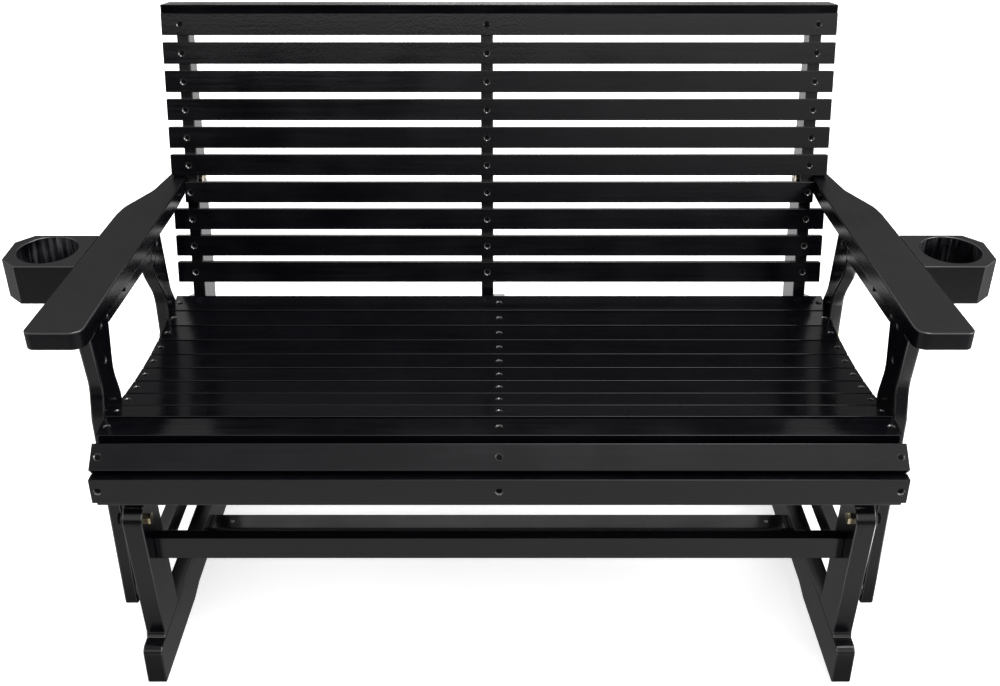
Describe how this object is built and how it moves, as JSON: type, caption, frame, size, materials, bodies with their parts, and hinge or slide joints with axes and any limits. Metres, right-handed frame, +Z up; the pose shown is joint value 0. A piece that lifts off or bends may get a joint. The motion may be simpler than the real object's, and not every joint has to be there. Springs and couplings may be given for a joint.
{
  "type": "glider bench",
  "caption": "Slatted garden glider bench: a contoured two-seat bench with arms and cup holders, hung by four steel straps from a low sled base.",
  "frame": {"origin": "on the floor, under the centre of the bench's overall box", "axes": "+X to the sitter's left along the seat, +Y from the front to the back, +Z up"},
  "size_m": [1.514, 0.7212, 0.8915],
  "materials": {
    "black_paint": "semi-gloss black paint on wood",
    "arm_paint": "semi-gloss black paint on wood, sky-lit tops",
    "hanger_steel": "black coated steel strap",
    "screw_steel": "dark coated deck screws",
    "zinc_bolt": "yellow zinc plated bolts"
  },
  "bodies": {
    "base": {"runner_left": "black_paint", "runner_right": "black_paint", "front_leg_left": "black_paint", "rear_leg_left": "black_paint", "front_leg_right": "black_paint", "rear_leg_right": "black_paint", "front_stretcher": "black_paint", "rear_stretcher": "black_paint", "middle_stretcher": "black_paint", "base_screws": "screw_steel", "upper_pivot_bolts": "zinc_bolt"},
    "hanger_front_left": {"hanger_front_left": "hanger_steel"},
    "hanger_front_right": {"hanger_front_right": "hanger_steel"},
    "hanger_rear_left": {"hanger_rear_left": "hanger_steel"},
    "hanger_rear_right": {"hanger_rear_right": "hanger_steel"},
    "seat": {"lower_pivot_bolts": "zinc_bolt", "seat_bearer_left": "black_paint", "seat_bearer_right": "black_paint", "seat_bearer_centre": "black_paint", "front_slat_upper": "black_paint", "front_slat_lower": "black_paint", "front_rail": "black_paint", "lower_rail_left": "black_paint", "lower_rail_right": "black_paint", "arm_post_front_left": "black_paint", "arm_post_front_right": "black_paint", "arm_post_rear_left": "black_paint", "arm_post_rear_right": "black_paint", "arm_cleat_left": "arm_paint", "arm_cleat_right": "arm_paint", "armrest_left": "arm_paint", "armrest_right": "arm_paint", "cup_holder_left": "arm_paint", "cup_holder_right": "arm_paint", "seat_slat_01": "black_paint", "seat_slat_02": "black_paint", "seat_slat_03": "black_paint", "seat_slat_04": "black_paint", "seat_slat_05": "black_paint", "seat_slat_06": "black_paint", "seat_slat_07": "black_paint", "seat_slat_08": "black_paint", "seat_slat_09": "black_paint", "seat_slat_10": "black_paint", "back_stile_left": "black_paint", "back_stile_right": "black_paint", "back_stile_centre": "black_paint", "back_slat_01": "black_paint", "back_slat_02": "black_paint", "back_slat_03": "black_paint", "back_slat_04": "black_paint", "back_slat_05": "black_paint", "back_slat_06": "black_paint", "back_slat_07": "black_paint", "back_slat_08": "black_paint", "back_slat_09": "black_paint", "back_slat_10": "black_paint", "back_cap": "black_paint", "wood_screws": "screw_steel", "frame_bolts": "zinc_bolt"}
  },
  "joints": [
    {"name": "glide", "type": "hinge", "parent": "base", "child": "hanger_front_left", "pos_m": [-0.547, -0.31157, 0.289], "axis": [1, 0, 0], "range_deg": [-8, 8]},
    {"name": "seat_hang", "type": "hinge", "parent": "hanger_front_left", "child": "seat", "pos_m": [-0.547, -0.23957, 0.11], "axis": [1, 0, 0], "range_deg": [-10.14, 10.14]},
    {"name": "hanger_front_right_swing", "type": "hinge", "parent": "base", "child": "hanger_front_right", "pos_m": [0.547, -0.31157, 0.289], "axis": [1, 0, 0], "range_deg": [-8, 8]},
    {"name": "hanger_rear_left_swing", "type": "hinge", "parent": "base", "child": "hanger_rear_left", "pos_m": [-0.547, 0.19343, 0.289], "axis": [1, 0, 0], "range_deg": [-8, 8]},
    {"name": "hanger_rear_right_swing", "type": "hinge", "parent": "base", "child": "hanger_rear_right", "pos_m": [0.547, 0.19343, 0.289], "axis": [1, 0, 0], "range_deg": [-8, 8]}
  ],
  "couplings": [
    {"joint": "seat_hang", "follows": "glide", "ratio": -1.261},
    {"joint": "hanger_front_right_swing", "follows": "glide", "ratio": 1},
    {"joint": "hanger_rear_left_swing", "follows": "glide", "ratio": 1},
    {"joint": "hanger_rear_right_swing", "follows": "glide", "ratio": 1}
  ]
}
